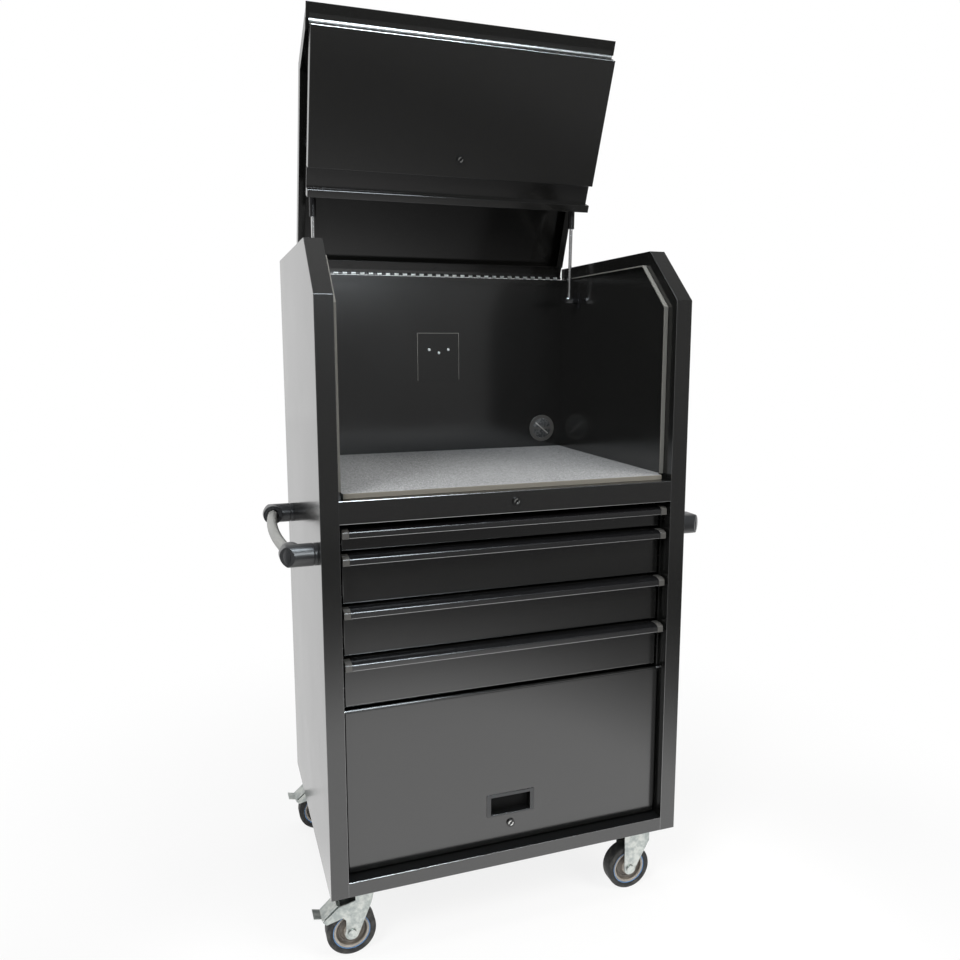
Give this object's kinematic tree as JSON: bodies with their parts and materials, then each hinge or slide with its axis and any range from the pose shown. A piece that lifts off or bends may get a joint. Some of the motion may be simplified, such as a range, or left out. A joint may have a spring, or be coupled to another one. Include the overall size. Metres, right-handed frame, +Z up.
{
  "type": "diagnostic workstation",
  "caption": "Steel tool cabinet on castors with a worktop hutch under a gas-strut lid and folding flap, full-width drawers and a lift-up cupboard door.",
  "frame": {"origin": "on the floor, under the middle of the part's box with the lid open", "axes": "+Z up, +X to the viewer's right, +Y away from the viewer, so the front faces -Y"},
  "size_m": [0.902, 0.5832, 1.8833],
  "materials": {
    "black_plastic": "black satin plastic",
    "bright_steel": "bright plated steel",
    "graphite_paint": "satin graphite grey powder coat",
    "grey_plastic": "mid-grey satin plastic",
    "grip_coat": "warm light grey satin coat",
    "hinge_steel": "bright zinc hinge stock",
    "hub_plastic": "cream plastic with a pale blue rim",
    "lock_chrome": "polished lock face",
    "mat_foam": "speckled grey cushion mat, matte",
    "seal_rubber": "grey-beige foam seal, matte",
    "slide_steel": "plain zinc drawer slide",
    "strut_black": "gloss black tube",
    "tyre_rubber": "dark grey rubber",
    "zinc": "mottled zinc plate"
  },
  "bodies": {
    "cabinet": {"left_side_panel": "graphite_paint", "right_side_panel": "graphite_paint", "left_liner": "graphite_paint", "right_liner": "graphite_paint", "back_panel": "graphite_paint", "base_pan": "graphite_paint", "worktop": "graphite_paint", "worktop_mat": "mat_foam", "hutch_seals": "seal_rubber", "drawer_slides": "slide_steel", "cupboard_top": "graphite_paint", "power_plate": "graphite_paint", "cable_grommet": "black_plastic", "strut_wall_brackets": "zinc", "handle_elbows": "black_plastic", "handle_grips": "grip_coat", "fixed_castor_forks": "zinc", "swivel_castor_plates": "zinc", "lid_hinge_cabinet_leaf": "hinge_steel", "door_hinge_pins": "hinge_steel"},
    "lid": {"lid_panel": "graphite_paint", "lid_hinge_lid_leaf": "hinge_steel", "lid_hinge_screws": "hinge_steel", "flap_hinge_lid_leaf": "hinge_steel", "strut_lid_brackets": "zinc"},
    "flap": {"flap_panel": "graphite_paint", "flap_hinge_flap_leaf": "hinge_steel"},
    "flap_lock": {"flap_lock": "lock_chrome"},
    "drawer_lock": {"drawer_lock": "lock_chrome"},
    "door": {"door_panel": "graphite_paint", "door_pull": "black_plastic"},
    "door_lock": {"door_lock": "lock_chrome"},
    "left_strut_rod": {"left_strut_rod": "bright_steel"},
    "left_strut_tube": {"left_strut_tube": "strut_black"},
    "right_strut_rod": {"right_strut_rod": "bright_steel"},
    "right_strut_tube": {"right_strut_tube": "strut_black"},
    "drawer_1": {"drawer_1_box": "graphite_paint", "drawer_1_pull": "graphite_paint", "drawer_1_end_caps": "grey_plastic"},
    "drawer_2": {"drawer_2_box": "graphite_paint", "drawer_2_pull": "graphite_paint", "drawer_2_end_caps": "grey_plastic"},
    "drawer_3": {"drawer_3_box": "graphite_paint", "drawer_3_pull": "graphite_paint", "drawer_3_end_caps": "grey_plastic"},
    "drawer_4": {"drawer_4_box": "graphite_paint", "drawer_4_pull": "graphite_paint", "drawer_4_end_caps": "grey_plastic"},
    "front_left_swivel": {"front_left_fork": "zinc"},
    "front_left_brake": {"front_left_brake_pedal": "zinc"},
    "rear_left_swivel": {"rear_left_fork": "zinc"},
    "rear_left_brake": {"rear_left_brake_pedal": "zinc"},
    "front_left_wheel": {"front_left_tyre": "tyre_rubber", "front_left_hub": "hub_plastic"},
    "front_right_wheel": {"front_right_tyre": "tyre_rubber", "front_right_hub": "hub_plastic"},
    "rear_left_wheel": {"rear_left_tyre": "tyre_rubber", "rear_left_hub": "hub_plastic"},
    "rear_right_wheel": {"rear_right_tyre": "tyre_rubber", "rear_right_hub": "hub_plastic"}
  },
  "joints": [
    {"name": "lid_hinge", "type": "hinge", "parent": "cabinet", "child": "lid", "pos_m": [0, 0.26792, 1.386], "axis": [1, 0, 0], "range_deg": [0, 69], "stiffness_Nm_per_rad": 14, "springref_deg": -148.97},
    {"name": "flap_hinge", "type": "hinge", "parent": "lid", "child": "flap", "pos_m": [0, -0.00342, 1.85009], "axis": [-1, 0, 0], "range_deg": [0, 91.3]},
    {"name": "flap_lock_turn", "type": "hinge", "parent": "flap", "child": "flap_lock", "pos_m": [0, 0.06227, 1.62141], "axis": [0, 0.9252, 0.3795], "range_deg": [0, 90]},
    {"name": "drawer_lock_turn", "type": "hinge", "parent": "cabinet", "child": "drawer_lock", "pos_m": [0, -0.28858, 0.913], "axis": [0, 1, 0], "range_deg": [0, 90]},
    {"name": "door_hinge", "type": "hinge", "parent": "cabinet", "child": "door", "pos_m": [0, -0.26008, 0.518], "axis": [-1, 0, 0], "range_deg": [0, 90]},
    {"name": "door_lock_turn", "type": "hinge", "parent": "door", "child": "door_lock", "pos_m": [0, -0.26358, 0.224], "axis": [0, 1, 0], "range_deg": [0, 90]},
    {"name": "left_strut_swing", "type": "hinge", "parent": "cabinet", "child": "left_strut_rod", "pos_m": [-0.316, 0.16142, 1.323], "axis": [1, 0, 0], "range_deg": [0, 73.6]},
    {"name": "left_strut_slide", "type": "slide", "parent": "left_strut_rod", "child": "left_strut_tube", "axis": [0, -0.0391, 0.9992], "range_m": [-0.139, 0]},
    {"name": "right_strut_swing", "type": "hinge", "parent": "cabinet", "child": "right_strut_rod", "pos_m": [0.316, 0.16142, 1.323], "axis": [1, 0, 0], "range_deg": [0, 73.6]},
    {"name": "right_strut_slide", "type": "slide", "parent": "right_strut_rod", "child": "right_strut_tube", "axis": [0, -0.0391, 0.9992], "range_m": [-0.139, 0]},
    {"name": "drawer_1_slide", "type": "slide", "parent": "cabinet", "child": "drawer_1", "axis": [0, -1, 0], "range_m": [0, 0.4]},
    {"name": "drawer_2_slide", "type": "slide", "parent": "cabinet", "child": "drawer_2", "axis": [0, -1, 0], "range_m": [0, 0.4]},
    {"name": "drawer_3_slide", "type": "slide", "parent": "cabinet", "child": "drawer_3", "axis": [0, -1, 0], "range_m": [0, 0.4]},
    {"name": "drawer_4_slide", "type": "slide", "parent": "cabinet", "child": "drawer_4", "axis": [0, -1, 0], "range_m": [0, 0.4]},
    {"name": "front_left_swivel_turn", "type": "hinge", "parent": "cabinet", "child": "front_left_swivel", "pos_m": [-0.3, -0.23758, 0.13], "axis": [0, 0, 1], "continuous": true},
    {"name": "front_left_brake_press", "type": "hinge", "parent": "front_left_swivel", "child": "front_left_brake", "pos_m": [-0.358, -0.23758, 0.101], "axis": [0, -1, 0], "range_deg": [0, 12]},
    {"name": "front_left_wheel_roll", "type": "hinge", "parent": "front_left_swivel", "child": "front_left_wheel", "pos_m": [-0.336, -0.23758, 0.05], "axis": [0, 1, 0], "continuous": true},
    {"name": "front_right_wheel_roll", "type": "hinge", "parent": "cabinet", "child": "front_right_wheel", "pos_m": [0.29, -0.23758, 0.05], "axis": [0, 1, 0], "continuous": true},
    {"name": "rear_left_swivel_turn", "type": "hinge", "parent": "cabinet", "child": "rear_left_swivel", "pos_m": [-0.3, 0.22042, 0.13], "axis": [0, 0, 1], "continuous": true},
    {"name": "rear_left_brake_press", "type": "hinge", "parent": "rear_left_swivel", "child": "rear_left_brake", "pos_m": [-0.358, 0.22042, 0.101], "axis": [0, -1, 0], "range_deg": [0, 12]},
    {"name": "rear_left_wheel_roll", "type": "hinge", "parent": "rear_left_swivel", "child": "rear_left_wheel", "pos_m": [-0.336, 0.22042, 0.05], "axis": [0, 1, 0], "continuous": true},
    {"name": "rear_right_wheel_roll", "type": "hinge", "parent": "cabinet", "child": "rear_right_wheel", "pos_m": [0.29, 0.22042, 0.05], "axis": [0, 1, 0], "continuous": true}
  ],
  "couplings": [
    {"joint": "left_strut_swing", "follows": "lid_hinge", "ratio": 1.0653},
    {"joint": "left_strut_slide", "follows": "lid_hinge", "m_per_rad": -0.11524},
    {"joint": "right_strut_swing", "follows": "lid_hinge", "ratio": 1.0653},
    {"joint": "right_strut_slide", "follows": "lid_hinge", "m_per_rad": -0.11524}
  ]
}
